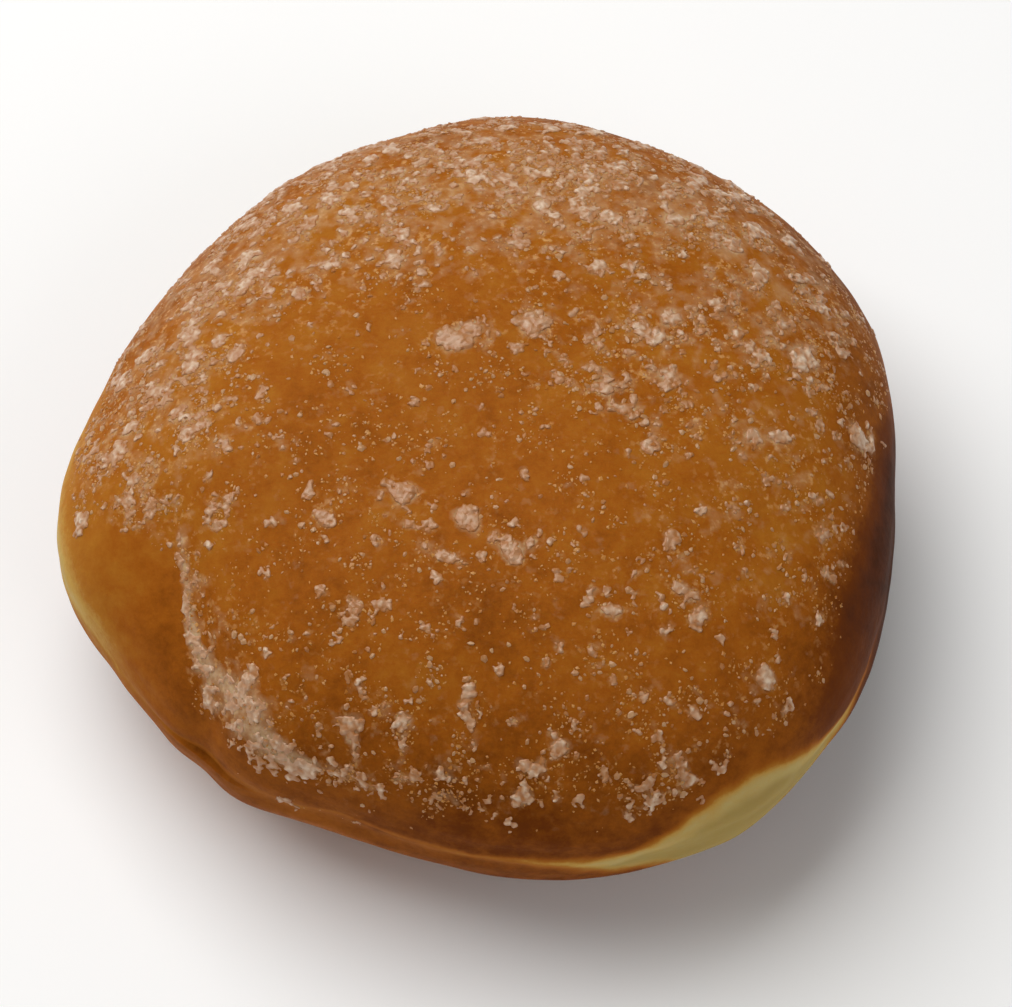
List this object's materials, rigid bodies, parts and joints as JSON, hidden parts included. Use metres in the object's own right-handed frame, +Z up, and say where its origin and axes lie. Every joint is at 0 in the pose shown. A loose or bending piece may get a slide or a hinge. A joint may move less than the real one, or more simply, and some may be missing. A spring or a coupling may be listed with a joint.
{
  "type": "beignet",
  "caption": "Round fried-dough beignet, wider than tall, with a domed sugared crown, a creased shoulder, a pale waist and a small flat foot.",
  "frame": {"origin": "on the plane that the beignet rests on, under the middle of its bounding box", "axes": "+Z up through the crown, +Y towards the back, away from the viewer of the picture, +X to the right"},
  "size_m": [0.0894, 0.0886, 0.0409],
  "materials": {
    "fried_dough": "golden-brown fried crust, satin, paler at the waist and darker on one side",
    "sugar": "granulated sugar, clear grains that look pale tan on the crust"
  },
  "bodies": {
    "root": {"beignet": "fried_dough"}
  },
  "joints": []
}
